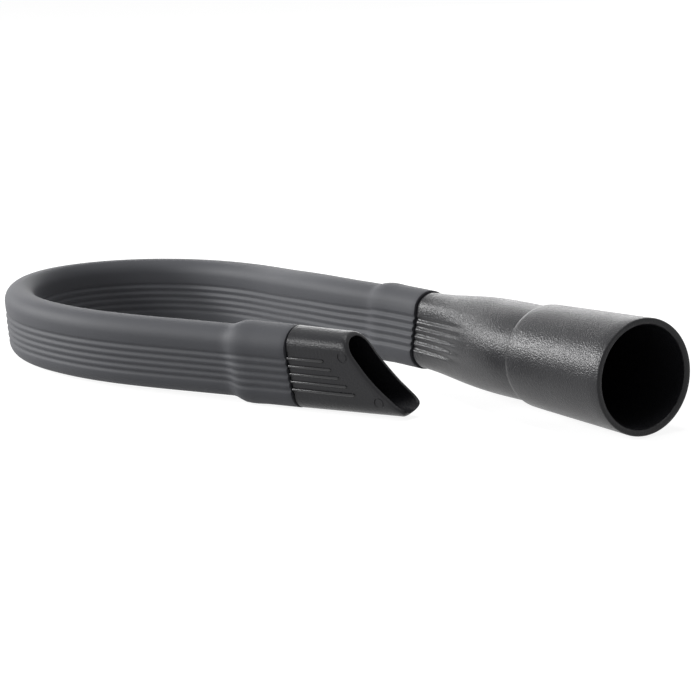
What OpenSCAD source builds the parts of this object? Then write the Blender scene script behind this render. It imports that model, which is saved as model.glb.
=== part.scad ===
// Flexible crevice tool: push-on cuff, flat grooved hose bent into a U, slant-cut nozzle.
// Origin: centre of the cuff's mouth. +X leaves the mouth along the bore, +Z is up.

/* [Cuff] */
// Radius of the socket that takes the wand
socket_r = 17.5; // [17:0.1:17.7]
// Length of the socket's cylindrical land
socket_land = 20; // [16:1:22]
// Outer radius at the mouth
mouth_r = 19.85; // [19.4:0.05:20.5]
// Outer radius of the barrel at the shoulder
barrel_r = 18; // [17.6:0.1:18.3]
// Length of the barrel, mouth to shoulder
barrel_len = 52.5; // [50:0.5:55]
// Length of the cuff, mouth to the edge of the hose
cuff_len = 122; // [118:1:126]
// Radius of the neck behind the shoulder
neck_r = 16.75; // [16.5:0.05:17]

/* [Hose] */
// Width of the flat hose, edge to edge
hose_w = 26.4; // [25.4:0.5:26.9]
// Thickness of the flat hose over its broad faces
hose_t = 12.8; // [12.4:0.2:13.4]
// Thickness of the hose where the bend flattens it most
loop_t = 11.3; // [10.9:0.2:11.9]
// Wall of the hose
hose_wall = 1.8; // [1.6:0.1:2]
// How far the hose is stretched over the cuff's spigot, each side
cuff_stretch = 1; // [0.9:0.1:1.3]
// How far the hose is stretched over the nozzle's spigot, each side
nozzle_stretch = 1.8; // [1.5:0.1:1.9]

/* [Grooves] */
// Distance between the grooves along the broad faces
groove_pitch = 2.5; // [2.3:0.05:2.5]
// Depth of the grooves
groove_depth = 0.6; // [0.3:0.1:0.7]

/* [Nozzle] */
// Length of the nozzle along its short edge
nozzle_short = 24; // [22:1:26]
// How much further on its curved mouth would meet the long edge
nozzle_slant = 28; // [26:1:30]
// Length of the nozzle to its blunt tip
nozzle_len = 46.5; // [45:0.5:48]
// Radius of the mouth's hollow curve, seen from the broad side
mouth_curve = 65; // [55:5:80]
// Width of the nozzle at the hose
nozzle_w = 30; // [29.6:0.2:30.4]
// Width of the nozzle at the tip
nozzle_tip_w = 28.6; // [27.6:0.5:29.1]
// Thickness of the nozzle at the hose
nozzle_t = 14; // [13.6:0.2:14.4]
// Thickness of the nozzle at its tip
nozzle_tip_t = 12.8; // [12.4:0.2:13]
// Wall of the nozzle
nozzle_wall = 1.5; // [1.3:0.1:1.7]

/* [Hidden] */

// Points that steer the middle line of the hose, from the cuff to the nozzle, mm.
ROUTE = [
    [-122, 0, 0], [-138, 0, 0], [-154, 0, -0.2], [-170, 0, -0.7],
    [-195, 1.5, -1.3], [-219.5, 5.5, -3.3], [-243.5, 10, -5], [-268, 10.5, -6.2], [-292, 3, -6.7],
    [-310, -15, -6.7], [-316.5, -39.5, -6.7], [-307.5, -61, -6.7], [-288, -77, -6.7],
    [-264, -86, -6.7], [-239, -88.5, -6.3], [-214, -86.5, -6.1], [-190, -80, -5.9],
    [-166.5, -71.7, -5.6], [-151.5, -66.4, -5.5], [-136.5, -61.1, -5.4], [-121.5, -55.8, -5.3]
];
SPANS = len(ROUTE) - 1;
RING_STEP = 0.5;
FINE_SPANS = 3;

// How far the hose's top leans out of the U, in degrees, at equal steps from the cuff to the nozzle.
LEANS = [10, -2, 2, 6, 12];
LEAN_SPANS = SPANS / (len(LEANS) - 1);

// How far the grooves lie above the middle of the section, at the same places.
GROOVE_SHIFTS = [-1.3, -1.2, -1.5, -1.1, -0.3];

// The bend flattens the hose over this many spans each side of its top.
FLAT_SPANS = 6;

// Where the hose's stretches meet, counted in spans of the route.
BEND_CUFF = 8.5;
LOOP_TOP = 10;
BEND_NOZZLE = 12;

// The spigots inside the hose, and the shape of their ends.
// An end's values are its stretch, the length of its spigot, how far along that its barb is, and the length
// over which the hose swells.
CUFF_END = [cuff_stretch, 25.5, 22.5, 5];
NOZZLE_END = [nozzle_stretch, 22.5, 20, 7];
spigot_wall = 1.3;
spigot_gap = 0.15;
barb_h = 0.2;
barb_run = 6;
barb_len = 4;

// The neck ends a little below the stretched hose.
neck_step = 0.5;
neck_rings = 14;
neck_overlap = 3;
duct_rings = 10;
cone_inset = 0.5;
shoulder_round = 1.5;
mouth_chamfer = 0.6;
cone_r = 15.7;
cone_depth = 44;
GROOVE_FADE = [0.12, 0.36];
neck_spread = 1.1;

// Grooves and corners of one cross-section.
GROOVES = 5;
CORNER_STEPS = 5;
crown = 0.15;
edge_flat = 0.4;
DUCT_STEPS = 4;

// Clearances at the two bends, where rigid stretches stand in for the rubber.
bend_gap = 0.15;
bend_close = 1.5;

// Small features of the nozzle.
NOZZLE_RIBS = 5;
nozzle_rib_r = 0.5;
nozzle_rib_sink = 0.05;
nozzle_rib_short = 13.6;
nozzle_rib_pitch = 2.95;
pin_mark_r = 1.8;
pin_mark_depth = 0.25;
PIN_MARKS = [[24, 7.5], [36.5, -7.5]];
overrun = 2;
eps = 0.01;

UP = [0, 0, 1];

// ---------- cross-sections ----------
// Each is a closed list of [side, height] points, from the outer face up and round to the inner face and back.

function smooth(a) = let(c = max(0, min(1, a))) c * c * (3 - 2 * c);

function blend(a, b, f) = a * (1 - f) + b * f;

// Corner points of one quarter: an oblong's rounded corner, blended towards a circle of radius big_r.
function quarter(w, t, big_r, mix, steps, face_top) = [
    for (j = [0:steps - 1])
        let(
            r = t / 2 - edge_flat,
            a = 90 * (j + 0.5) / steps,
            start = asin(face_top / big_r),
            b = start + (90 - start) * (j + 0.5) / steps
        )
        blend([t / 2 - r + r * cos(a), w / 2 - r + r * sin(a)], big_r * [cos(b), sin(b)], mix)
];

// Points up one broad face: down into each groove and out again.
function face(t, big_r, mix, depth, pitch, shift) = [
    for (k = [-GROOVES:GROOVES])
        let(z = k * pitch / 2 + shift, bulge = crown * (1 - k * k / (GROOVES * GROOVES)))
        [blend(t / 2 + bulge, sqrt(big_r * big_r - z * z), mix) - (k % 2 == 0 ? depth : 0), z]
];

function all_round(side, q) = concat(
    side,
    q,
    [for (j = [len(q) - 1:-1:0]) [-q[j][0], q[j][1]]],
    [for (j = [len(side) - 1:-1:0]) [-side[j][0], side[j][1]]],
    [for (j = [0:len(q) - 1]) [-q[j][0], -q[j][1]]],
    [for (j = [len(q) - 1:-1:0]) [q[j][0], -q[j][1]]]
);

// The grooves spread where the section is stretched.
function grooved(w, t, big_r, mix, depth, shift) = let(pitch = groove_pitch * w / hose_w) all_round(
    face(t, big_r, mix, depth, pitch, shift),
    quarter(w, t, big_r, mix, CORNER_STEPS, GROOVES * pitch / 2 + abs(shift))
);

function plain(w, t, big_r = 1, mix = 0) = all_round([], quarter(w, t, big_r, mix, DUCT_STEPS, 0));

// A cross-section's points in space. at is its centre, side its sideways direction, along its forward one,
// and tilt turns its top towards the side. shear moves it forward by that much for each mm from pivot
// towards the inner face.
function placed(points, at, side, along, tilt = 0, forward = 0, shear = 0, pivot = 0) = [
    for (p = points)
        let(out = p[0] * cos(tilt) + p[1] * sin(tilt))
        at + out * side + (p[1] * cos(tilt) - p[0] * sin(tilt)) * UP + (forward + shear * (pivot - out)) * along
];

module loft(rings) {
    n = len(rings[0]);
    last = len(rings) - 1;
    sides = [
        for (i = [0:last - 1], j = [0:n - 1])
            let(a = i * n + j, b = i * n + (j + 1) % n)
            each [[a, b, b + n], [a, b + n, a + n]]
    ];
    polyhedron(
        points = [for (r = rings) each r],
        faces = concat([[for (j = [n - 1:-1:0]) j]], sides, [[for (j = [0:n - 1]) last * n + j]])
    );
}

// ---------- the hose's middle line ----------

GUIDE = concat([2 * ROUTE[0] - ROUTE[1]], ROUTE, [2 * ROUTE[SPANS] - ROUTE[SPANS - 1]]);

function span_of(u) = min(floor(u), SPANS - 1);

// A uniform cubic B-spline over the route.
function middle(u) = let(i = span_of(u), f = u - i, g = 1 - f)
    (g * g * g * GUIDE[i] + (3 * f * f * f - 6 * f * f + 4) * GUIDE[i + 1]
    + (3 * g * g * g - 6 * g * g + 4) * GUIDE[i + 2] + f * f * f * GUIDE[i + 3]) / 6;

function heading(u) = let(i = span_of(u), f = u - i, g = 1 - f)
    (-g * g * GUIDE[i] + (3 * f * f - 4 * f) * GUIDE[i + 1]
    + (4 * g - 3 * g * g) * GUIDE[i + 2] + f * f * GUIDE[i + 3]) / 2;

function level(v) = [v[0], v[1], 0] / norm([v[0], v[1]]);

function outward(u) = let(h = level(heading(u))) [h[1], -h[0], 0];

// One of the lists above at a place along the route.
function eased(values, u) = let(i = min(floor(u / LEAN_SPANS), len(values) - 2))
    blend(values[i], values[i + 1], smooth(u / LEAN_SPANS - i));

function thickness(u) = blend(loop_t, hose_t, smooth(abs(u - LOOP_TOP) / FLAT_SPANS));

// How far one end's spigot and its barb stretch the hose at a distance from that end.
function swell_of(end, distance) = end[0] * (1 - smooth((distance - end[1]) / end[3]))
    + barb_h * (1 - smooth(abs(distance - end[2]) / barb_run));

function swell(u) = swell_of(CUFF_END, norm(middle(u) - middle(0)))
    + swell_of(NOZZLE_END, norm(middle(u) - middle(SPANS)));

function outer_ring(u, forward = 0, shear = 0) = let(s = swell(u))
    placed(
        grooved(hose_w + 2 * s, thickness(u) + 2 * s, hose_w, 0, groove_depth, eased(GROOVE_SHIFTS, u)),
        middle(u), outward(u), level(heading(u)), eased(LEANS, u), forward, shear, thickness(u) / 2 + crown
    );

function inner_ring(u, forward = 0) = let(s = swell(u) - hose_wall)
    placed(
        plain(hose_w + 2 * s, thickness(u) + 2 * s),
        middle(u), outward(u), level(heading(u)), eased(LEANS, u), forward
    );

// Rings are closer together over the spigots.
function fine(u) = min(u, SPANS - u) < FINE_SPANS;

function stations(from, to) = [
    for (u = [from + RING_STEP / 2:RING_STEP / 2:to - RING_STEP / 2])
        if (fine(u) || round(u / RING_STEP) * RING_STEP == u) u
];

// One stretch of hose. cut_from and cut_to say which ends stop at a bend.
module hose_stretch(from, to, cut_from = false, cut_to = false) {
    shear = tan(bend_close);
    color("#54565a")
    difference() {
        loft(concat(
            [outer_ring(from, cut_from ? bend_gap : 0, cut_from ? shear : 0)],
            [for (u = stations(from, to)) outer_ring(u)],
            [outer_ring(to, cut_to ? -bend_gap : 0, cut_to ? -shear : 0)]
        ));
        loft(concat(
            [inner_ring(from, -overrun)],
            [for (u = stations(from, to)) inner_ring(u)],
            [inner_ring(to, overrun)]
        ));
    }
}

module hose_run_cuff() {
    hose_stretch(0, BEND_CUFF, cut_to = true);
}

module hose_loop_cuff() {
    hose_stretch(BEND_CUFF, LOOP_TOP, cut_from = true);
}

module hose_loop_nozzle() {
    hose_stretch(LOOP_TOP, BEND_NOZZLE, cut_to = true);
}

module hose_run_nozzle() {
    hose_stretch(BEND_NOZZLE, SPANS, cut_from = true);
}

// ---------- cuff ----------

// A flat oblong outline with round corners, width along Y of the sketch.
module oblong(w, t) {
    r = t / 2 - edge_flat;
    square([t, w - 2 * r], center = true);
    square([t - 2 * r, w], center = true);
    for (x = [-1, 1], y = [-1, 1])
        translate([x * (t / 2 - r), y * (w / 2 - r)]) circle(r = r, $fn = 48);
}

// Outline that leaves the hose's wall round it, with the hose stretched for that end, and more is added.
module inside_hose(end, more = 0) {
    grow = 2 * (end[0] - hose_wall - spigot_gap + more);
    oblong(hose_w + grow, hose_t + grow);
}

// Runs an outline, drawn as [side, height], along +X.
module along_x(length) {
    rotate([90, 0, 90]) linear_extrude(length) children();
}

module barrel() {
    back = barrel_len + shoulder_round;
    rotate([0, -90, 0])
        rotate_extrude($fn = 96)
        polygon([
            [0, 0],
            [mouth_r - mouth_chamfer, 0],
            [mouth_r, mouth_chamfer],
            [barrel_r, barrel_len],
            [barrel_r - 0.3, barrel_len + 0.5 * shoulder_round],
            [neck_r - 0.2, back + shoulder_round],
            [0, back + shoulder_round]
        ]);
}

function neck_x(f) = blend(-cuff_len, neck_overlap - barrel_len - shoulder_round, f);

function neck_ring(f) = let(
        mix = smooth(f * 1.15),
        depth = groove_depth * (1 - smooth((f - GROOVE_FADE[0]) / (GROOVE_FADE[1] - GROOVE_FADE[0]))),
        grow = 2 * (cuff_stretch - neck_step),
        width = blend(hose_w + grow, 2 * neck_r, smooth(f * neck_spread))
    )
    placed(
        grooved(width, hose_t + grow, neck_r, mix, depth, GROOVE_SHIFTS[0]),
        [neck_x(f), 0, 0], [0, 1, 0], [-1, 0, 0], LEANS[0]
    );

module neck() {
    loft([for (i = [neck_rings:-1:0]) neck_ring(i / neck_rings)]);
}

function duct_ring(x, f) = let(grow = 2 * (cuff_stretch - hose_wall - spigot_gap - spigot_wall))
    placed(
        plain(hose_w + grow, hose_t + grow, cone_r - cone_inset, smooth(f * 1.1)),
        [x, 0, 0], [0, 1, 0], [-1, 0, 0], LEANS[0]
    );

// The air's way from the end of the cone through the neck and the spigot.
module duct() {
    loft(concat(
        [
            for (i = [duct_rings:-1:0])
                let(f = i / duct_rings)
                duct_ring(blend(-cuff_len, overrun - cone_depth, f), f)
        ],
        [duct_ring(-cuff_len - CUFF_END[1] - overrun, 0)]
    ));
}

// From the spigot's tip along +X, with a barb near the tip.
module spigot(end) {
    along_x(end[1] + overrun) inside_hose(end);
    translate([end[1] - end[2] - barb_len / 2, 0, 0]) along_x(barb_len) inside_hose(end, barb_h);
}

module cuff() {
    color("#2b2b2d")
    difference() {
        union() {
            barrel();
            neck();
            translate([-cuff_len - CUFF_END[1], 0, 0]) rotate([-LEANS[0], 0, 0]) spigot(CUFF_END);
        }
        rotate([0, -90, 0]) translate([0, 0, -overrun])
            cylinder(r = socket_r, h = socket_land + overrun, $fn = 96);
        rotate([0, -90, 0]) translate([0, 0, socket_land - eps])
            cylinder(r1 = socket_r - eps, r2 = cone_r, h = cone_depth - socket_land, $fn = 96);
        duct();
    }
}

// ---------- nozzle ----------

slant_angle = atan2(nozzle_slant, nozzle_w);
mouth_chord = norm([nozzle_slant, nozzle_w]);
mouth_away = sqrt(mouth_curve * mouth_curve - mouth_chord * mouth_chord / 4) / mouth_chord;
taper_angle = atan((nozzle_t - nozzle_tip_t) / 2 / nozzle_len);

function taper_ring(x, inset) = let(f = x / nozzle_len)
    placed(
        smooth_sided(blend(nozzle_w, nozzle_tip_w, f) - 2 * inset, blend(nozzle_t, nozzle_tip_t, f) - 2 * inset),
        [x, 0, 0], [0, -1, 0], [1, 0, 0]
    );

function smooth_sided(w, t) = all_round([], quarter(w, t, 1, 0, CORNER_STEPS, 0));

// Five ribs down each broad face, their ends in line with the slant.
module nozzle_ribs() {
    for (side = [-1, 1], k = [0:NOZZLE_RIBS - 1])
        translate([0, side * (nozzle_t / 2 - nozzle_rib_sink), ((NOZZLE_RIBS - 1) / 2 - k) * nozzle_rib_pitch])
            rotate([0, 90, -side * taper_angle])
            cylinder(
                r = nozzle_rib_r,
                h = nozzle_rib_short + (k + 0.5) * nozzle_rib_pitch * tan(slant_angle),
                $fn = 24
            );
}

// Shallow round marks left by the mould's ejector pins.
module pin_marks() {
    for (m = PIN_MARKS)
        translate([m[0], pin_mark_depth - blend(nozzle_t, nozzle_tip_t, m[0] / nozzle_len) / 2, m[1]])
            rotate([90, 0, -taper_angle])
            cylinder(r = pin_mark_r, h = overrun, $fn = 32);
}

module nozzle_at_origin() {
    difference() {
        union() {
            loft([taper_ring(0, 0), taper_ring(nozzle_len + overrun, 0)]);
            nozzle_ribs();
            translate([-NOZZLE_END[1], 0, 0]) spigot(NOZZLE_END);
        }
        translate([-NOZZLE_END[1] - overrun, 0, 0])
            along_x(NOZZLE_END[1] + 2 * overrun) inside_hose(NOZZLE_END, -spigot_wall);
        loft([taper_ring(nozzle_wall, nozzle_wall), taper_ring(nozzle_len + 2 * overrun, nozzle_wall)]);
        translate([
            nozzle_short + nozzle_slant / 2 + mouth_away * nozzle_w,
            nozzle_w,
            mouth_away * nozzle_slant
        ])
            rotate([90, 0, 0]) cylinder(r = mouth_curve, h = 2 * nozzle_w, $fn = 240);
        translate([nozzle_len, -nozzle_w, -nozzle_w]) cube([nozzle_len, 2 * nozzle_w, 2 * nozzle_w]);
        pin_marks();
    }
}

module nozzle() {
    h = heading(SPANS);
    color("#2b2b2d")
    translate(middle(SPANS)) rotate([LEANS[len(LEANS) - 1], 0, atan2(h[1], h[0])]) nozzle_at_origin();
}

cuff();
hose_run_cuff();
hose_loop_cuff();
hose_loop_nozzle();
hose_run_nozzle();
nozzle();
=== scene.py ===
"""Flexible vacuum crevice hose: a push-on cuff, a flat grooved hose bent into a U, and a slant-cut nozzle."""
import math

import bmesh
import bpy
from bpy.props import FloatProperty, PointerProperty, StringProperty
from mathutils import Matrix, Vector


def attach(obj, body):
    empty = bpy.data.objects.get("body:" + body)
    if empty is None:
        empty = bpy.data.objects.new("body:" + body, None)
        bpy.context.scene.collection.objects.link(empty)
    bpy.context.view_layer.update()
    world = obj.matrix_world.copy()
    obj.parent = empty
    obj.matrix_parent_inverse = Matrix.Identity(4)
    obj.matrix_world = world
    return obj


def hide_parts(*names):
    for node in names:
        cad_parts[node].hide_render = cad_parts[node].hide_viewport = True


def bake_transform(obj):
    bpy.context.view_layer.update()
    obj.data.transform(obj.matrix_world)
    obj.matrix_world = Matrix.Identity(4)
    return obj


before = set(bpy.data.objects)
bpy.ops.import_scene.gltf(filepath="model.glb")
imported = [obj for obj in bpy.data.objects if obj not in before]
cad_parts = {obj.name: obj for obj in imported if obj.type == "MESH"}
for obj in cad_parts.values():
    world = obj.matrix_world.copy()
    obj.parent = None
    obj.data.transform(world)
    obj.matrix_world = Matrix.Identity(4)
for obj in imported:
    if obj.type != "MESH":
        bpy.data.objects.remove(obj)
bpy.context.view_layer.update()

bl_info = {
    "name": "Flexible vacuum crevice hose",
    "version": (1, 0, 0),
    "blender": (4, 5, 0),
    "location": "3D View > Sidebar > Crevice hose",
    "description": "Builds a flat flexible vacuum hose with its cuff, its nozzle and a plain studio",
    "category": "Object",
}

UP = Vector((0, 0, 1))

# Points that steer the middle line of the hose, from the cuff to the nozzle.
ROUTE = [Vector(p) for p in (
    (-0.122, 0, 0), (-0.138, 0, 0), (-0.154, 0, -0.0002), (-0.170, 0, -0.0007),
    (-0.195, 0.0015, -0.0013), (-0.2195, 0.0055, -0.0033), (-0.2435, 0.010, -0.005),
    (-0.268, 0.0105, -0.0062), (-0.292, 0.003, -0.0067), (-0.310, -0.015, -0.0067),
    (-0.3165, -0.0395, -0.0067), (-0.3075, -0.061, -0.0067), (-0.288, -0.077, -0.0067),
    (-0.264, -0.086, -0.0067), (-0.239, -0.0885, -0.0063), (-0.214, -0.0865, -0.0061),
    (-0.190, -0.080, -0.0059), (-0.1665, -0.0717, -0.0056), (-0.1515, -0.0664, -0.0055),
    (-0.1365, -0.0611, -0.0054), (-0.1215, -0.0558, -0.0053),
)]
SPANS = len(ROUTE) - 1
GUIDE = [2 * ROUTE[0] - ROUTE[1]] + ROUTE + [2 * ROUTE[-1] - ROUTE[-2]]

# How far the hose's top leans out of the U, in degrees, at equal steps from the cuff to the nozzle.
LEANS = (10, -2, 2, 6, 12)
LEAN_SPANS = SPANS / (len(LEANS) - 1)

# How far the grooves lie above the middle of the section, at the same places: they lie a little below it.
GROOVE_SHIFTS = (-0.0013, -0.0012, -0.0015, -0.0011, -0.0003)

# The bend flattens the hose over this many spans each side of its top.
FLAT_SPANS = 6

# The two lengths of hose meet at the top of the loop, counted in spans of the route.
LOOP_TOP = 10


# ---------- sizes and colours ----------

class HoseSettings(bpy.types.PropertyGroup):
    """Sizes and colour of the flat hose"""
    width: FloatProperty(name="Width", description="Width of the flat hose", default=0.0264, unit="LENGTH")
    thickness: FloatProperty(
        name="Thickness", description="Thickness over the broad faces", default=0.0128, unit="LENGTH")
    loop_thickness: FloatProperty(
        name="Thickness in the loop", description="Thickness where the bend flattens it most",
        default=0.0113, unit="LENGTH")
    wall: FloatProperty(name="Wall", description="Wall of the hose", default=0.0018, unit="LENGTH")
    cuff_stretch: FloatProperty(
        name="Stretch at the cuff", description="How far the cuff's spigot swells the hose",
        default=0.001, unit="LENGTH")
    nozzle_stretch: FloatProperty(
        name="Stretch at the nozzle", description="How far the nozzle's spigot swells the hose",
        default=0.0018, unit="LENGTH")
    groove_pitch: FloatProperty(
        name="Groove pitch", description="Distance between grooves", default=0.0025, unit="LENGTH")
    groove_depth: FloatProperty(
        name="Groove depth", description="Depth of the grooves", default=0.0006, unit="LENGTH")
    ring_step: FloatProperty(
        name="Ring step", description="Spacing of the rings along the hose", default=0.002, unit="LENGTH")
    color: StringProperty(name="Colour", description="sRGB hex of the rubber", default="494A4E")


class CuffSettings(bpy.types.PropertyGroup):
    """Sizes and colour of the cuff"""
    socket: FloatProperty(
        name="Socket radius", description="Radius of the socket for the wand", default=0.0175, unit="LENGTH")
    mouth: FloatProperty(
        name="Mouth radius", description="Outer radius at the mouth", default=0.01985, unit="LENGTH")
    shoulder: FloatProperty(
        name="Shoulder radius", description="Outer radius of the barrel's shoulder", default=0.018,
        unit="LENGTH")
    neck: FloatProperty(
        name="Neck radius", description="Radius of the neck behind the shoulder", default=0.01675,
        unit="LENGTH")
    barrel: FloatProperty(
        name="Barrel", description="Length from the mouth to the shoulder", default=0.0525, unit="LENGTH")
    length: FloatProperty(
        name="Length", description="Length from the mouth to the hose", default=0.122, unit="LENGTH")
    color: StringProperty(name="Colour", description="sRGB hex of the cuff's plastic", default="222225")


class NozzleSettings(bpy.types.PropertyGroup):
    """Sizes and colour of the nozzle"""
    short_edge: FloatProperty(
        name="Short edge", description="Length along the short edge", default=0.024, unit="LENGTH")
    slant: FloatProperty(
        name="Slant", description="How much further on the curved mouth would meet the long edge",
        default=0.028, unit="LENGTH")
    length: FloatProperty(name="Length", description="Length to the blunt tip", default=0.0465, unit="LENGTH")
    mouth_curve: FloatProperty(
        name="Mouth curve", description="Radius of the mouth's hollow curve", default=0.065, unit="LENGTH")
    width: FloatProperty(name="Width", description="Width at the hose", default=0.03, unit="LENGTH")
    tip_width: FloatProperty(name="Tip width", description="Width at the tip", default=0.0286, unit="LENGTH")
    thickness: FloatProperty(
        name="Thickness", description="Thickness at the hose", default=0.014, unit="LENGTH")
    tip_thickness: FloatProperty(
        name="Tip thickness", description="Thickness at the tip", default=0.0128, unit="LENGTH")
    wall: FloatProperty(name="Wall", description="Wall of the nozzle", default=0.0015, unit="LENGTH")
    rim: FloatProperty(
        name="Rim radius", description="Outer radius round the mouth", default=0.0011, unit="LENGTH")
    color: StringProperty(name="Colour", description="sRGB hex of the nozzle's plastic", default="262629")


class StudioSettings(bpy.types.PropertyGroup):
    """Camera, floor and lamps"""
    lens: FloatProperty(name="Lens", description="Focal length", default=170.5, unit="CAMERA")
    floor: FloatProperty(name="Floor", description="Height of the floor", default=-0.0206, unit="LENGTH")
    floor_color: StringProperty(name="Floor colour", description="sRGB hex of the floor", default="A8A8A8")


# ---------- the hose's middle line ----------

def span_of(u):
    return min(int(u), SPANS - 1)


def middle(u):
    """A uniform cubic B-spline over the route, u in spans."""
    i = span_of(u)
    f = u - i
    g = 1 - f
    return (g ** 3 * GUIDE[i] + (3 * f ** 3 - 6 * f * f + 4) * GUIDE[i + 1]
            + (3 * g ** 3 - 6 * g * g + 4) * GUIDE[i + 2] + f ** 3 * GUIDE[i + 3]) / 6


def heading(u):
    i = span_of(u)
    f = u - i
    g = 1 - f
    d = (-g * g * GUIDE[i] + (3 * f * f - 4 * f) * GUIDE[i + 1]
         + (4 * g - 3 * g * g) * GUIDE[i + 2] + f * f * GUIDE[i + 3])
    return Vector((d.x, d.y, 0)).normalized()


def smooth(a):
    a = max(0.0, min(1.0, a))
    return a * a * (3 - 2 * a)


def mix(a, b, f):
    return a * (1 - f) + b * f


def stations(start, end, step):
    """Places from start to end, about one step apart, with both ends."""
    places, travelled, last, u = [start], 0.0, middle(start), start
    while u < end - 1e-9:
        u = min(end, u + 0.01)
        here = middle(u)
        travelled += (here - last).length
        last = here
        if travelled >= step:
            places.append(u)
            travelled = 0.0
    if travelled < step / 2:
        places.pop()
    return places + [end]


# ---------- cross-sections ----------

# The turns, in degrees, of the rings that round an edge.
QUARTER_TURN = (0, 22.5, 45, 67.5, 90)

GROOVES = 5
FACE_STEPS = 8
CORNER_STEPS = 10
CROWN = 0.00015
EDGE_FLAT = 0.0004


def section(width, thickness, pitch, depth=0.0, roundness=0.0, radius=0.017, shift=0.0):
    """A closed outline of (side, height) points: a flat oblong with grooves along its broad faces.

    roundness turns it from the oblong, at 0, to a circle of the given radius, at 1.
    shift moves the grooves up.
    """
    half = GROOVES * FACE_STEPS // 2
    edge = thickness / 2 - EDGE_FLAT
    face = []
    for k in range(-half, half + 1):
        height = k * pitch / FACE_STEPS + shift
        flat = thickness / 2 + CROWN * (1 - (k / half) ** 2)
        curved = math.sqrt(radius * radius - height * height)
        cut = depth * (0.5 + 0.5 * math.cos(2 * math.pi * k / FACE_STEPS))
        face.append((mix(flat, curved, roundness) - cut, height))
    face_end = half * pitch / FACE_STEPS + abs(shift)
    first = math.asin(face_end / radius)
    low = math.asin(max(0.0, (face_end - width / 2 + edge) / edge))
    corner = []
    for j in range(CORNER_STEPS):
        f = (j + 0.5) / CORNER_STEPS
        a = mix(low, math.pi / 2, f)
        b = mix(first, math.pi / 2, f)
        corner.append((
            mix(thickness / 2 - edge + edge * math.cos(a), radius * math.cos(b), roundness),
            mix(width / 2 - edge + edge * math.sin(a), radius * math.sin(b), roundness)))
    points = face + corner
    points += [(-s, h) for s, h in reversed(corner)]
    points += [(-s, h) for s, h in reversed(face)]
    points += [(-s, -h) for s, h in corner]
    points += [(s, -h) for s, h in reversed(corner)]
    return points


def place(points, at, side, along, tilt, forward=0.0):
    """The outline's points in space, its top turned towards the side by tilt degrees."""
    a = math.radians(tilt)
    across = side * math.cos(a) - UP * math.sin(a)
    rise = UP * math.cos(a) + side * math.sin(a)
    return [at + s * across + h * rise + forward * along for s, h in points]


# ---------- helpers ----------

def deselect():
    if bpy.context.object and bpy.context.object.mode != "OBJECT":
        bpy.ops.object.mode_set(mode="OBJECT")
    bpy.ops.object.select_all(action="DESELECT")


def activate(piece):
    deselect()
    piece.select_set(True)
    bpy.context.view_layer.objects.active = piece


def skin(name, rings):
    """A closed quad mesh over a loop of rings of equal count, the last one joined to the first.

    Its UV map runs round each ring and along the rings, in metres.
    """
    n = len(rings[0])
    faces = []
    for i in range(len(rings)):
        a, b = i * n, ((i + 1) % len(rings)) * n
        faces += [(a + j, a + (j + 1) % n, b + (j + 1) % n, b + j) for j in range(n)]
    mesh = bpy.data.meshes.new(name)
    mesh.from_pydata([p for ring in rings for p in ring], [], faces)
    mesh.update()
    around, along = [0.0], [0.0]
    for j in range(n):
        around.append(around[-1] + (rings[0][(j + 1) % n] - rings[0][j]).length)
    for i in range(len(rings)):
        along.append(along[-1] + (rings[(i + 1) % len(rings)][0] - rings[i][0]).length)
    uv = mesh.uv_layers.new(name="surface").data
    corner = 0
    for i in range(len(rings)):
        for j in range(n):
            for dj, di in ((0, 0), (1, 0), (1, 1), (0, 1)):
                uv[corner].uv = (around[j + dj], along[i + di])
                corner += 1
    piece = bpy.data.objects.new(name, mesh)
    bpy.context.scene.collection.objects.link(piece)
    activate(piece)
    bpy.ops.object.mode_set(mode="EDIT")
    bpy.ops.mesh.select_all(action="SELECT")
    bpy.ops.mesh.normals_make_consistent(inside=False)
    bpy.ops.object.mode_set(mode="OBJECT")
    return piece


def pick_faces(piece, test):
    """In edit mode, selects just the faces that pass the test."""
    bpy.ops.mesh.select_mode(type="FACE")
    bpy.ops.mesh.select_all(action="DESELECT")
    shape = bmesh.from_edit_mesh(piece.data)
    shape.normal_update()
    chosen = [face for face in shape.faces if test(face)]
    if not chosen:
        raise RuntimeError("nothing selected on " + piece.name)
    for face in chosen:
        face.select_set(True)
    shape.select_flush_mode()
    bmesh.update_edit_mesh(piece.data)


def cut_away(piece, cutter):
    """Cuts the cutter's shape out of the piece and removes the cutter."""
    activate(piece)
    modifier = piece.modifiers.new("Cut", "BOOLEAN")
    modifier.operation = "DIFFERENCE"
    modifier.object = cutter
    modifier.solver = "EXACT"
    bpy.ops.object.modifier_apply(modifier=modifier.name)
    bpy.data.objects.remove(cutter, do_unlink=True)


def join(pieces, name):
    deselect()
    for piece in pieces:
        piece.select_set(True)
    bpy.context.view_layer.objects.active = pieces[0]
    bpy.ops.object.join()
    joined = bpy.context.object
    joined.name = joined.data.name = name
    return joined


def smooth_by_angle(piece, degrees):
    activate(piece)
    bpy.ops.object.shade_smooth_by_angle(angle=math.radians(degrees))


def dress(piece, material):
    piece.data.materials.clear()
    piece.data.materials.append(material)


# ---------- materials ----------

def srgb(hex_code):
    """Linear RGBA of an sRGB hex colour."""
    parts = [int(hex_code[i:i + 2], 16) / 255 for i in (0, 2, 4)]
    return [c / 12.92 if c <= 0.04045 else ((c + 0.055) / 1.055) ** 2.4 for c in parts] + [1.0]


def add(tree, kind, settings=None, values=None, links=None):
    """Adds a node with its settings, input values and links from other nodes' output sockets."""
    node = tree.nodes.new(kind)
    for key, value in (settings or {}).items():
        setattr(node, key, value)
    for socket, value in (values or {}).items():
        node.inputs[socket].default_value = value
    for socket, source in (links or {}).items():
        tree.links.new(source, node.inputs[socket])
    return node


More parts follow.
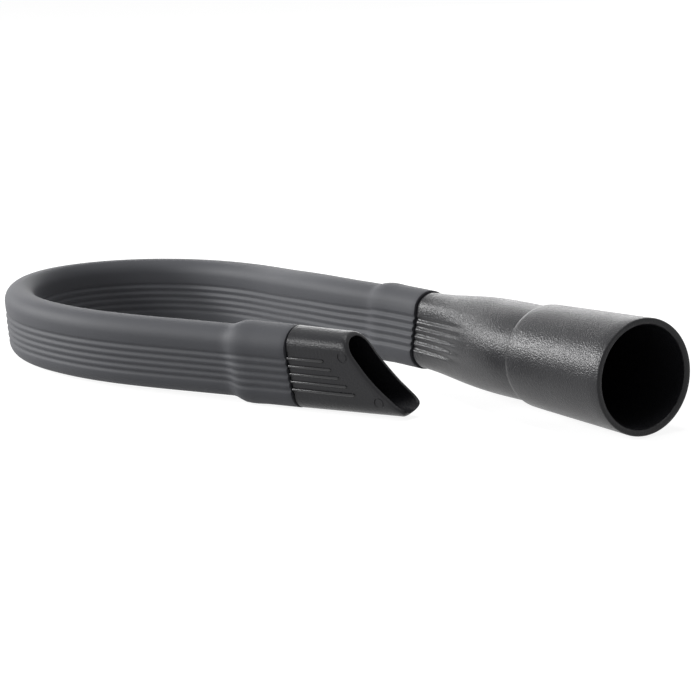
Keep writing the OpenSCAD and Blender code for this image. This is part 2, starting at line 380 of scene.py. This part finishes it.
def new_material(name):
    material = bpy.data.materials.new(name)
    material.use_nodes = True
    material.node_tree.nodes.clear()
    return material, material.node_tree


def shade(hex_code, factor):
    return [min(1.0, c * factor) for c in srgb(hex_code)[:3]] + [1.0]


def soft_rubber(color):
    """Extruded soft PVC rubber: matte, with a chalky grain and faint lines along the length from the die."""
    material, tree = new_material("extruded_soft_rubber")
    spot = add(tree, "ShaderNodeTexCoord")
    # Lines from the die are 0.7 mm apart across the hose and run for centimetres along it.
    stretched = add(tree, "ShaderNodeMapping", values={"Scale": (1400.0, 30.0, 1.0)},
                    links={"Vector": spot.outputs["UV"]})
    lines = add(tree, "ShaderNodeTexNoise", values={"Scale": 1.0, "Detail": 2.0},
                links={"Vector": stretched.outputs["Vector"]})
    # The rubber's chalky grain, 0.5 mm across.
    grain = add(tree, "ShaderNodeTexNoise", values={"Scale": 2000.0, "Detail": 2.0},
                links={"Vector": spot.outputs["Object"]})
    # Handling leaves slow changes of tone, 20 mm across.
    cloud = add(tree, "ShaderNodeTexNoise", values={"Scale": 50.0, "Detail": 3.0},
                links={"Vector": spot.outputs["Object"]})
    tone = add(tree, "ShaderNodeMix", settings={"data_type": "RGBA"},
               links={0: cloud.outputs["Fac"]})
    tone.inputs[6].default_value = shade(color, 0.90)
    tone.inputs[7].default_value = shade(color, 1.10)
    height = add(tree, "ShaderNodeMath", settings={"operation": "ADD"},
                 links={0: lines.outputs["Fac"], 1: grain.outputs["Fac"]})
    bump = add(tree, "ShaderNodeBump", values={"Strength": 0.10, "Distance": 0.0002},
               links={"Height": height.outputs["Value"]})
    rough = add(tree, "ShaderNodeMapRange", values={"To Min": 0.56, "To Max": 0.68},
                links={"Value": grain.outputs["Fac"]})
    shader = add(tree, "ShaderNodeBsdfPrincipled", values={"IOR": 1.5, "Specular IOR Level": 0.25},
                 links={"Base Color": tone.outputs[2], "Roughness": rough.outputs["Result"],
                        "Normal": bump.outputs["Normal"]})
    add(tree, "ShaderNodeOutputMaterial", links={"Surface": shader.outputs["BSDF"]})
    return material


def grained_plastic(name, color, strength, rough_low, rough_high, gloss):
    """ABS from a spark-eroded mould: near black, with a pebble grain that breaks up the highlights."""
    material, tree = new_material(name)
    spot = add(tree, "ShaderNodeTexCoord")
    # Pebbles 0.5 mm across.
    pebbles = add(tree, "ShaderNodeTexNoise", values={"Scale": 1900.0, "Detail": 1.0, "Roughness": 0.5},
                  links={"Vector": spot.outputs["Object"]})
    # Wear polishes the grain in patches 15 mm across.
    wear = add(tree, "ShaderNodeTexNoise", values={"Scale": 65.0, "Detail": 2.0},
               links={"Vector": spot.outputs["Object"]})
    tone = add(tree, "ShaderNodeMix", settings={"data_type": "RGBA"}, links={0: pebbles.outputs["Fac"]})
    tone.inputs[6].default_value = shade(color, 0.80)
    tone.inputs[7].default_value = shade(color, 1.20)
    rough = add(tree, "ShaderNodeMapRange",
                values={"From Min": 0.3, "From Max": 0.7, "To Min": rough_low, "To Max": rough_high},
                links={"Value": wear.outputs["Fac"]})
    bump = add(tree, "ShaderNodeBump", values={"Strength": strength, "Distance": 0.0004},
               links={"Height": pebbles.outputs["Fac"]})
    shader = add(tree, "ShaderNodeBsdfPrincipled", values={"IOR": 1.5, "Specular IOR Level": gloss},
                 links={"Base Color": tone.outputs[2], "Roughness": rough.outputs["Result"],
                        "Normal": bump.outputs["Normal"]})
    add(tree, "ShaderNodeOutputMaterial", links={"Surface": shader.outputs["BSDF"]})
    return material


def direct_rays(tree):
    """1 for the rays that show the white surround: seen by the camera, in a reflection or through glass."""
    path = add(tree, "ShaderNodeLightPath")
    shown = add(tree, "ShaderNodeMath", settings={"operation": "MAXIMUM"},
                links={0: path.outputs["Is Camera Ray"], 1: path.outputs["Is Glossy Ray"]})
    return add(tree, "ShaderNodeMath", settings={"operation": "MAXIMUM"},
               links={0: shown.outputs["Value"], 1: path.outputs["Is Transmission Ray"]})


def pale_floor(color):
    """Matt painted board: the camera sees it as white paper, and it keeps the soft shadow of the object."""
    material, tree = new_material("matt_white_board")
    seen = direct_rays(tree)
    board = add(tree, "ShaderNodeBsdfDiffuse", values={"Color": srgb(color)})
    white = add(tree, "ShaderNodeBsdfDiffuse", values={"Color": srgb("F8F8F8")})
    glow = add(tree, "ShaderNodeEmission", values={"Color": (1, 1, 1, 1), "Strength": 1.42})
    paper = add(tree, "ShaderNodeMixShader", values={0: 0.62},
                links={1: white.outputs["BSDF"], 2: glow.outputs["Emission"]})
    both = add(tree, "ShaderNodeMixShader",
               links={0: seen.outputs["Value"], 1: board.outputs["BSDF"], 2: paper.outputs["Shader"]})
    add(tree, "ShaderNodeOutputMaterial", links={"Surface": both.outputs["Shader"]})
    return material


# ---------- hose ----------

# Each end of the hose: how far its spigot reaches in, where the spigot's barb lies, the barb's height and
# the length over which the hose swells.
CUFF_END = {"spigot": 0.0255, "barb_at": 0.0225, "barb": 0.0002, "run": 0.005}
NOZZLE_END = {"spigot": 0.0225, "barb_at": 0.02, "barb": 0.0002, "run": 0.007}
BARB_RUN = 0.006
# The round of the hose's open ends, and the hair's breadth that rounds the edges where the two lengths meet.
LIP = 0.0002
SEAM_HAIR = 0.00004


def swell(s, u):
    """How far the hose is pushed out by a spigot and its barb."""
    if u < LOOP_TOP:
        end, shape, stretch = ROUTE[0], CUFF_END, s.cuff_stretch
    else:
        end, shape, stretch = ROUTE[-1], NOZZLE_END, s.nozzle_stretch
    away = (middle(u) - end).length
    return (stretch * (1 - smooth((away - shape["spigot"]) / shape["run"]))
            + shape["barb"] * (1 - smooth(abs(away - shape["barb_at"]) / BARB_RUN)))


def eased(values, u):
    """One of the lists of values at equal steps along the hose, at a place along the route."""
    i = min(int(u / LEAN_SPANS), len(values) - 2)
    return mix(values[i], values[i + 1], smooth(u / LEAN_SPANS - i))


def hose_ring(s, u, inset=0.0, forward=0.0, grooved=True):
    grow = swell(s, u) - inset
    along = heading(u)
    thickness = mix(s.loop_thickness, s.thickness, smooth(abs(u - LOOP_TOP) / FLAT_SPANS))
    width = s.width + 2 * grow
    outline = section(
        width, thickness + 2 * grow, s.groove_pitch * width / s.width, s.groove_depth if grooved else 0.0,
        shift=eased(GROOVE_SHIFTS, u) if grooved else 0.0)
    return place(outline, middle(u), Vector((along.y, -along.x, 0)), along, eased(LEANS, u), forward)


def hose_end(s, u, inward, open_end):
    """Rings from the outer face round the end to the inner face.

    inward is +1 at the first end and -1 at the last.
    """
    if not open_end:
        return [hose_ring(s, u, 0.0, inward * SEAM_HAIR), hose_ring(s, u),
                hose_ring(s, u, s.wall, 0.0, False), hose_ring(s, u, s.wall, inward * SEAM_HAIR, False)]
    rings = []
    for turn in (0, 30, 60, 90):
        a = math.radians(turn)
        rings.append(hose_ring(s, u, LIP * (1 - math.cos(a)), inward * LIP * (1 - math.sin(a))))
    rings.append(hose_ring(s, u, s.wall - LIP / 2, 0.0, False))
    rings.append(hose_ring(s, u, s.wall, inward * LIP / 2, False))
    return rings


def hose_length(name, s, start, end):
    """A hollow length of hose and the points that its middle line passes."""
    places = stations(start, end, s.ring_step)
    between = places[1:-1]
    rings = [hose_ring(s, u) for u in between]
    rings += hose_end(s, end, -1, end == SPANS)
    rings += [hose_ring(s, u, s.wall, 0.0, False) for u in reversed(between)]
    rings += reversed(hose_end(s, start, 1, start == 0))
    piece = skin(name, rings)
    smooth_by_angle(piece, 50)
    return piece, [tuple(middle(u)) for u in places]


def way(start, end):
    """Length of the middle line between two places."""
    places = stations(start, end, 0.0005)
    return sum((middle(a) - middle(b)).length for a, b in zip(places, places[1:]))


class HoseOperator(bpy.types.Operator):
    """Builds the flat grooved hose as two lengths that meet at the top of the loop"""
    bl_idname = "crevice_hose.hose"
    bl_label = "Hose"

    def execute(self, context):
        s = context.scene.crevice_hose_hose
        rubber = soft_rubber(s.color)
        first, first_path = hose_length("hose_to_loop", s, 0, LOOP_TOP)
        second, second_path = hose_length("hose_from_loop", s, LOOP_TOP, SPANS)
        for piece in (first, second):
            dress(piece, rubber)
        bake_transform(first)
        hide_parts("hose_run_cuff", "hose_loop_cuff")
        way(0, LOOP_TOP)
        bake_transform(second)
        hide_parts("hose_loop_nozzle", "hose_run_nozzle")
        way(LOOP_TOP, SPANS)
        return {"FINISHED"}


# ---------- cuff ----------

BARREL_SIDES = 128
BARREL_RINGS = 8
# The socket: its straight depth, and the cone behind it.
SOCKET_LAND = 0.020
CONE_END = -0.044
CONE_RADIUS = 0.0157
# Points of the rounded edge of the socket: how far in, and how much wider than the socket.
SOCKET_EDGE = ((-0.0009, 0.0), (-0.0006, 0.0001), (-0.0001, 0.0006), (0.0, 0.0009))
RIM_ROUND = 0.0006
SHOULDER_ROUND = 0.0028
# The barrel's back dips under the neck, then under its wall, on its way to the cone.
SHOULDER_DIP = 0.0003
BACK_DIP = 0.0008
BACK_WALL = 0.004
# The dark gap between the neck and the hose.
GAP = 0.0004
# How much smaller the neck is than the swollen hose, and how far it reaches into the barrel.
NECK_INSET = 0.001
NECK_OVERLAP = 0.002
NECK_RINGS = 48
# The neck's end is softened by these two steps, and its face keeps shallower grooves.
NECK_EDGE = (0.001, 0.0012)
NECK_FACE_GROOVE = 0.0004
# The duct inside the neck runs into the cone a little, just within its radius.
DUCT_RINGS = 8
DUCT_OVERLAP = 0.001
DUCT_STEP = 0.0005
# The grooves fade out between these two parts of the neck's length, counted from the hose.
GROOVE_FADE = (0.22, 0.58)
# The neck reaches its full width, its round section and the duct's round section early by these factors.
NECK_SPREAD = 1.1
NECK_ROUNDING = 1.15
DUCT_ROUNDING = 1.1
HAIR = 0.0001
# Both spigots: their wall, their play in the hose and the spacing of the points across their faces.
SPIGOT_WALL = 0.0013
SPIGOT_GAP = 0.00015
SPIGOT_PITCH = 0.0018
# Places along a spigot from its tip, and how far its barb stands out there.
CUFF_BARB = ((0.006, 0.0), (0.0035, 0.0004), (0.0, 0.0))
NOZZLE_BARB = ((0.0, -0.0003), (0.0025, 0.00025), (0.006, 0.0))


def lathe(name, profile, sides):
    """Starts from a circle and extrudes and resizes it through (x, radius) pairs, closed at the end."""
    deselect()
    x, radius = profile[0]
    bpy.ops.mesh.primitive_circle_add(
        vertices=sides, radius=radius, location=(x, 0, 0), rotation=(0, math.pi / 2, 0))
    piece = bpy.context.object
    bpy.ops.object.transform_apply(location=True, rotation=True, scale=True)
    bpy.ops.object.mode_set(mode="EDIT")
    bpy.ops.mesh.select_mode(type="VERT")
    bpy.ops.mesh.select_all(action="SELECT")
    for next_x, next_radius in profile[1:] + profile[:1]:
        bpy.ops.mesh.extrude_region_move(TRANSFORM_OT_translate={"value": (next_x - x, 0, 0)})
        grow = next_radius / radius
        bpy.ops.transform.resize(value=(1, grow, grow), center_override=(next_x, 0, 0))
        x, radius = next_x, next_radius
    bpy.ops.mesh.select_all(action="SELECT")
    bpy.ops.mesh.remove_doubles(threshold=1e-6)
    bpy.ops.mesh.normals_make_consistent(inside=False)
    bpy.ops.object.mode_set(mode="OBJECT")
    piece.name = piece.data.name = name
    return piece


def barrel(s):
    """The round end: socket, flat rim with softened edges, tapering outside and rounded shoulder."""
    profile = [(-SOCKET_LAND, s.socket)] + [(x, s.socket + more) for x, more in SOCKET_EDGE]
    for turn in QUARTER_TURN:
        a = math.radians(turn)
        profile.append((RIM_ROUND * math.cos(a) - RIM_ROUND, s.mouth - RIM_ROUND + RIM_ROUND * math.sin(a)))
    for i in range(1, BARREL_RINGS):
        profile.append((-s.barrel * i / BARREL_RINGS, mix(s.mouth, s.shoulder, i / BARREL_RINGS)))
    drop = s.shoulder - s.neck
    for turn in QUARTER_TURN:
        a = math.radians(turn)
        profile.append((-s.barrel + SHOULDER_ROUND * (0.5 - math.sin(a)),
                        s.shoulder - (drop + SHOULDER_DIP) * (1 - math.cos(a))))
    profile += [(-s.barrel - SHOULDER_ROUND / 2, s.neck - BACK_DIP), (-s.barrel + BACK_WALL, CONE_RADIUS),
                (CONE_END, CONE_RADIUS)]
    return lathe("cuff_barrel", profile, BARREL_SIDES)


def neck(s, hose):
    """The way from the round shoulder to the flat hose, with five fading grooves, and the spigot behind it.

    It turns from round to oblong under the grooves, which no extrusion gives, so its rings are laid one
    by one.
    """
    side, along = Vector((0, 1, 0)), Vector((-1, 0, 0))
    grow = 2 * hose.cuff_stretch - NECK_INSET
    width, thickness = hose.width + grow, hose.thickness + grow
    inside = 2 * (hose.cuff_stretch - hose.wall - SPIGOT_GAP)
    spigot_w, spigot_t = hose.width + inside, hose.thickness + inside

    def ring(x, outline):
        return place(outline, Vector((x, 0, 0)), side, along, LEANS[0])

    def spigot(x, more):
        return ring(x, section(spigot_w + 2 * more, spigot_t + 2 * more, SPIGOT_PITCH))

    front, back = -s.barrel + NECK_OVERLAP, -s.length + GAP
    rings = []
    for i in range(NECK_RINGS + 1):
        f = 1 - i / NECK_RINGS
        faded = smooth((f - GROOVE_FADE[0]) / (GROOVE_FADE[1] - GROOVE_FADE[0]))
        depth = hose.groove_depth * (1 - faded)
        spread = mix(width, 2 * s.neck, smooth(f * NECK_SPREAD))
        shrink = NECK_EDGE[0] if i == NECK_RINGS else 0.0
        rings.append(ring(mix(back, front, f), section(
            spread - shrink, thickness - shrink, hose.groove_pitch * spread / hose.width, depth,
            smooth(f * NECK_ROUNDING), s.neck, GROOVE_SHIFTS[0])))
    rings.append(ring(back - HAIR, section(
        width - NECK_EDGE[1], thickness - NECK_EDGE[1], hose.groove_pitch, NECK_FACE_GROOVE,
        shift=GROOVE_SHIFTS[0])))
    tip = -s.length - CUFF_END["spigot"]
    rings.append(spigot(back - HAIR, 0.0))
    rings += [spigot(tip + x, more) for x, more in CUFF_BARB]
    rings.append(spigot(tip, -SPIGOT_WALL))
    for i in range(DUCT_RINGS + 1):
        f = i / DUCT_RINGS
        duct_w, duct_t = spigot_w - 2 * SPIGOT_WALL, spigot_t - 2 * SPIGOT_WALL
        rings.append(ring(mix(-s.length, CONE_END - DUCT_OVERLAP, f), section(
            duct_w, duct_t, SPIGOT_PITCH, 0.0, smooth(f * DUCT_ROUNDING), CONE_RADIUS - DUCT_STEP)))
    return skin("cuff_neck", rings)


class CuffOperator(bpy.types.Operator):
    """Builds the push-on cuff: round socket, shoulder, neck with fading grooves, and spigot"""
    bl_idname = "crevice_hose.cuff"
    bl_label = "Cuff"

    def execute(self, context):
        s = context.scene.crevice_hose_cuff
        hose = context.scene.crevice_hose_hose
        piece = join([barrel(s), neck(s, hose)], "push_on_cuff")
        smooth_by_angle(piece, 35)
        dress(piece, grained_plastic("grained_black_abs", s.color, 0.42, 0.29, 0.35, 0.25))
        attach(piece, "cuff_side")
        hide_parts("cuff")
        return {"FINISHED"}


# ---------- nozzle ----------

NOZZLE_RIBS = 5
NOZZLE_RIB_PITCH = 0.00295
NOZZLE_RIB_SHORT = 0.0145
NOZZLE_RIB_STEP = 0.0028
NOZZLE_RIB_RADIUS = 0.0006
NOZZLE_RIB_SINK = 0.00005
NOZZLE_RIB_START = 0.0002
# Steps along a rib's far end, and how much each one narrows it.
NOZZLE_RIB_RUN_OUT = ((0.0003, 0.85), (0.0003, 0.7), (0.0002, 0.3))
NOZZLE_RINGS = 14
NOZZLE_INSIDE_RINGS = 8
# The spacing of the points across the nozzle's broad faces.
NOZZLE_PITCH = 0.002
NOZZLE_HAIR = 0.0003
# The blunt tip: its radius, how far it bulges out of that, and how softly it runs into the mouth's curve.
TIP_ROUND = 0.005
TIP_BULGE = 0.8
TIP_BLEND = 0.0015
# Places of the ejector-pin marks on the front face: along the nozzle, and up from its middle.
PIN_MARKS = ((0.0239, 0.0080), (0.0364, -0.0080))
PIN_RADIUS = 0.0018
# The ring that presses a mark: the radius of its section, and how far its middle stands off the face.
PIN_LINE = 0.0003
PIN_STAND_OFF = 0.00005
# The narrow seam between the nozzle and the hose.
NOZZLE_SEAM = 0.0003


def mouth_at(s, height):
    """How far along the nozzle its mouth lies at a height: a hollow curve, then a blunt rounded tip."""
    chord = math.hypot(s.slant, s.width)
    away = math.sqrt(s.mouth_curve ** 2 - chord ** 2 / 4) / chord
    centre_x, centre_z = s.short_edge + s.slant / 2 + away * s.width, away * s.slant
    curve = centre_x - math.sqrt(s.mouth_curve ** 2 - (height - centre_z) ** 2)
    low = max(0.0, -s.tip_width / 2 + TIP_ROUND - height)
    bulge = math.sqrt(max(0.0, TIP_ROUND ** 2 - min(low, TIP_ROUND) ** 2))
    blunt = s.length - TIP_ROUND + mix(TIP_ROUND, bulge, TIP_BULGE)
    return (curve + blunt - math.sqrt((curve - blunt) ** 2 + TIP_BLEND ** 2)) / 2


def nozzle_shell(s, hose):
    """A tapered oblong tube with a curved slanting mouth and a rolled rim, and the spigot behind it.

    Its mouth is curved and its rim rounded all the way, which no cut and bevel gives, so its rings are laid
    one by one, from the hose to the rim outside, back inside, and out and back along the spigot.
    """
    side, along = Vector((0, -1, 0)), Vector((1, 0, 0))
    inside = 2 * (hose.nozzle_stretch - hose.wall - SPIGOT_GAP)
    spigot_w, spigot_t = hose.width + inside, hose.thickness + inside
    tip = -NOZZLE_END["spigot"]

    def wall_ring(f, inset=0.0, back=0.0):
        """A ring a fraction f of the way to the mouth, inset from the outside and set back."""
        ring = []
        for across, height in section(s.width - 2 * inset, s.thickness - 2 * inset, NOZZLE_PITCH):
            level = height
            for _ in range(3):
                x = max(mouth_at(s, level) * f - back, 0.0)
                level = height * mix(1, s.tip_width / s.width, x / s.length)
            ring.append(Vector((x, -across * mix(1, s.tip_thickness / s.thickness, x / s.length), level)))
        return ring

    def flat_ring(x, width, thickness):
        return place(section(width, thickness, NOZZLE_PITCH), Vector((x, 0, 0)), side, along, 0)

    hair = NOZZLE_HAIR
    rings = [flat_ring(0, s.width - 2 * hair, s.thickness - 2 * hair), flat_ring(hair, s.width, s.thickness)]
    for i in range(1, NOZZLE_RINGS + 1):
        rings.append(wall_ring(i / NOZZLE_RINGS, 0.0, s.rim * i / NOZZLE_RINGS))
    for turn in QUARTER_TURN[1:]:
        a = math.radians(turn)
        rings.append(wall_ring(1, s.rim * (1 - math.cos(a)), s.rim * (1 - math.sin(a))))
    rings += [wall_ring(1, s.wall - hair / 2, 0.0), wall_ring(1, s.wall, hair / 2)]
    rings += [wall_ring(i / NOZZLE_INSIDE_RINGS, s.wall) for i in range(NOZZLE_INSIDE_RINGS - 1, 1, -1)]
    rings += [flat_ring(s.wall, s.width - 2 * s.wall, s.thickness - 2 * s.wall),
              flat_ring(s.wall, spigot_w - 2 * SPIGOT_WALL, spigot_t - 2 * SPIGOT_WALL),
              flat_ring(tip, spigot_w - 2 * SPIGOT_WALL, spigot_t - 2 * SPIGOT_WALL)]
    for x, more in NOZZLE_BARB:
        rings.append(flat_ring(tip + x, spigot_w + 2 * more, spigot_t + 2 * more))
    rings.append(flat_ring(0, spigot_w, spigot_t))
    return skin("nozzle_shell", rings)


def nozzle_ribs(s):
    """Five thin half-round ribs down each broad face, their ends in line with the slant."""
    bars = []
    taper = math.atan((s.thickness - s.tip_thickness) / 2 / s.length)
    for side in (-1, 1):
        for k in range(NOZZLE_RIBS):
            length = NOZZLE_RIB_SHORT + k * NOZZLE_RIB_STEP
            height = ((NOZZLE_RIBS - 1) / 2 - k) * NOZZLE_RIB_PITCH
            face = s.thickness / 2 + CROWN - NOZZLE_RIB_SINK - length / 2 * math.tan(taper)
            deselect()
            bpy.ops.mesh.primitive_cylinder_add(
                vertices=16, radius=NOZZLE_RIB_RADIUS, depth=length, end_fill_type="NGON",
                location=(length / 2 + NOZZLE_RIB_START, side * face, height),
                rotation=(0, math.pi / 2, -side * taper))
            bar = bpy.context.object
            bpy.ops.object.transform_apply(location=True, rotation=True, scale=True)
            bpy.ops.object.mode_set(mode="EDIT")
            # The far end runs out in a short round slope.
            far = max(v.co.x for v in bar.data.vertices)
            pick_faces(bar, lambda f: len(f.verts) > 4 and f.calc_center_median().x > far - 0.001)
            for step, grow in NOZZLE_RIB_RUN_OUT:
                bpy.ops.mesh.extrude_region_move(TRANSFORM_OT_translate={"value": (step, 0, 0)})
                bpy.ops.transform.resize(value=(1, grow, grow))
            bpy.ops.object.mode_set(mode="OBJECT")
            bars.append(bar)
    return bars


def press_pin_marks(piece, s):
    """Shallow ring marks left by the mould's ejector pins on the front face."""
    for x, height in PIN_MARKS:
        face = mix(s.thickness, s.tip_thickness, x / s.length) / 2
        deselect()
        bpy.ops.mesh.primitive_torus_add(
            major_radius=PIN_RADIUS, minor_radius=PIN_LINE, major_segments=40, minor_segments=8,
            location=(x, -face - PIN_STAND_OFF, height), rotation=(math.pi / 2, 0, 0))
        pin = bpy.context.object
        bpy.ops.object.transform_apply(location=True, rotation=True, scale=True)
        cut_away(piece, pin)


class NozzleOperator(bpy.types.Operator):
    """Builds the slant-cut crevice nozzle with its ribs and its spigot"""
    bl_idname = "crevice_hose.nozzle"
    bl_label = "Nozzle"

    def execute(self, context):
        s = context.scene.crevice_hose_nozzle
        shell = nozzle_shell(s, context.scene.crevice_hose_hose)
        press_pin_marks(shell, s)
        dress(shell, grained_plastic("satin_black_abs", s.color, 0.3, 0.26, 0.32, 0.25))
        # The mould's slots for the ribs are cut after it is etched, so the ribs are glossy.
        glossy = grained_plastic("polished_black_abs", s.color, 0.02, 0.14, 0.18, 0.5)
        ribs = nozzle_ribs(s)
        for rib in ribs:
            dress(rib, glossy)
        piece = join([shell] + ribs, "crevice_nozzle")
        ahead = heading(SPANS)
        piece.matrix_world = (
            Matrix.Translation(ROUTE[-1] + ahead * NOZZLE_SEAM)
            @ Matrix.Rotation(math.atan2(ahead.y, ahead.x), 4, "Z")
            @ Matrix.Rotation(math.radians(LEANS[-1]), 4, "X"))
        activate(piece)
        bpy.ops.object.transform_apply(location=True, rotation=True, scale=True)
        smooth_by_angle(piece, 35)
        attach(piece, "nozzle_side")
        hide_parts("nozzle")
        return {"FINISHED"}


# ---------- studio ----------

FLOOR_SIZE = 8
OBJECT_MIDDLE = (-0.15, -0.04, 0)
# Each soft lamp faces the middle of the object: its name, place, length, width and power in watts.
LAMPS = (
    ("soft_lamp_side", (-1.38, -0.76, 0.48), 0.42, 0.28, 15),
    ("soft_lamp_back", (-1.40, 0.69, 0.42), 1.3, 0.4, 5),
    ("soft_lamp_above", (-0.15, -0.04, 1.10), 0.9, 0.4, 5),
    ("soft_lamp_front", (-0.67, -1.33, 0.56), 0.45, 0.3, 9),
)
CAMERA_PLACE = (0.8346, -0.6797, 0.2171)
CAMERA_HEADING = 56.00
CAMERA_DIP = 10.78
CAMERA_ROLL = -2.19


def point_camera(s):
    deselect()
    bpy.ops.object.camera_add(location=CAMERA_PLACE)
    camera = bpy.context.object
    camera.name = "camera"
    turn = (Matrix.Rotation(math.radians(CAMERA_HEADING), 3, "Z")
            @ Matrix.Rotation(math.radians(90 - CAMERA_DIP), 3, "X")
            @ Matrix.Rotation(math.radians(CAMERA_ROLL), 3, "Z"))
    camera.rotation_euler = turn.to_euler()
    camera.data.lens = s.lens
    camera.data.clip_end = 20
    bpy.context.scene.camera = camera


def lamp(name, place_at, size, size_y, power):
    deselect()
    bpy.ops.object.light_add(type="AREA", location=place_at)
    light = bpy.context.object
    light.name = name
    light.data.shape = "RECTANGLE"
    light.data.size = size
    light.data.size_y = size_y
    light.data.energy = power
    light.rotation_euler = (Vector(OBJECT_MIDDLE) - Vector(place_at)).to_track_quat("-Z", "Y").to_euler()


class StageOperator(bpy.types.Operator):
    """Sets up the camera, a plain pale floor, a white surround and soft lamps"""
    bl_idname = "crevice_hose.stage"
    bl_label = "Stage"

    def execute(self, context):
        s = context.scene.crevice_hose_studio
        point_camera(s)
        deselect()
        bpy.ops.mesh.primitive_plane_add(size=FLOOR_SIZE, location=(OBJECT_MIDDLE[0], 0, s.floor))
        floor = bpy.context.object
        floor.name = "floor"
        bpy.ops.object.transform_apply(location=True, rotation=True, scale=True)
        dress(floor, pale_floor(s.floor_color))
        for each in LAMPS:
            lamp(*each)
        world = bpy.data.worlds.new("white_surround")
        context.scene.world = world
        world.use_nodes = True
        tree = world.node_tree
        tree.nodes.clear()
        seen = direct_rays(tree)
        soft = add(tree, "ShaderNodeBackground", values={"Color": srgb("FFFFFF"), "Strength": 0.17})
        white = add(tree, "ShaderNodeBackground", values={"Color": srgb("FFFFFF"), "Strength": 1.0})
        both = add(tree, "ShaderNodeMixShader",
                   links={0: seen.outputs["Value"], 1: soft.outputs["Background"],
                          2: white.outputs["Background"]})
        add(tree, "ShaderNodeOutputWorld", links={"Surface": both.outputs["Shader"]})
        context.scene.view_settings.view_transform = "Standard"
        return {"FINISHED"}


# ---------- panel and start ----------

class CreviceHosePanel(bpy.types.Panel):
    """Lists the pieces and their sizes"""
    bl_idname = "VIEW3D_PT_crevice_hose"
    bl_label = "Crevice hose"
    bl_space_type = "VIEW_3D"
    bl_region_type = "UI"
    bl_category = "Crevice hose"

    def draw(self, context):
        for operator, group in (("crevice_hose.nozzle", "crevice_hose_nozzle"),
                                ("crevice_hose.hose", "crevice_hose_hose"),
                                ("crevice_hose.cuff", "crevice_hose_cuff"),
                                ("crevice_hose.stage", "crevice_hose_studio")):
            box = self.layout.box()
            box.operator(operator)
            settings = getattr(context.scene, group)
            for key in settings.bl_rna.properties.keys():
                if key not in {"rna_type", "name"}:
                    box.prop(settings, key)


GROUPS = {
    "crevice_hose_hose": HoseSettings,
    "crevice_hose_cuff": CuffSettings,
    "crevice_hose_nozzle": NozzleSettings,
    "crevice_hose_studio": StudioSettings,
}
CLASSES = list(GROUPS.values()) + [
    NozzleOperator, HoseOperator, CuffOperator, StageOperator, CreviceHosePanel]


def register():
    for each in CLASSES:
        bpy.utils.register_class(each)
    for name, group in GROUPS.items():
        setattr(bpy.types.Scene, name, PointerProperty(type=group))


def unregister():
    for name in GROUPS:
        delattr(bpy.types.Scene, name)
    for each in reversed(CLASSES):
        bpy.utils.unregister_class(each)


def main():
    register()
    bpy.ops.crevice_hose.stage()
    bpy.ops.crevice_hose.nozzle()
    bpy.ops.crevice_hose.hose()
    bpy.ops.crevice_hose.cuff()


if __name__ == "__main__":
    main()
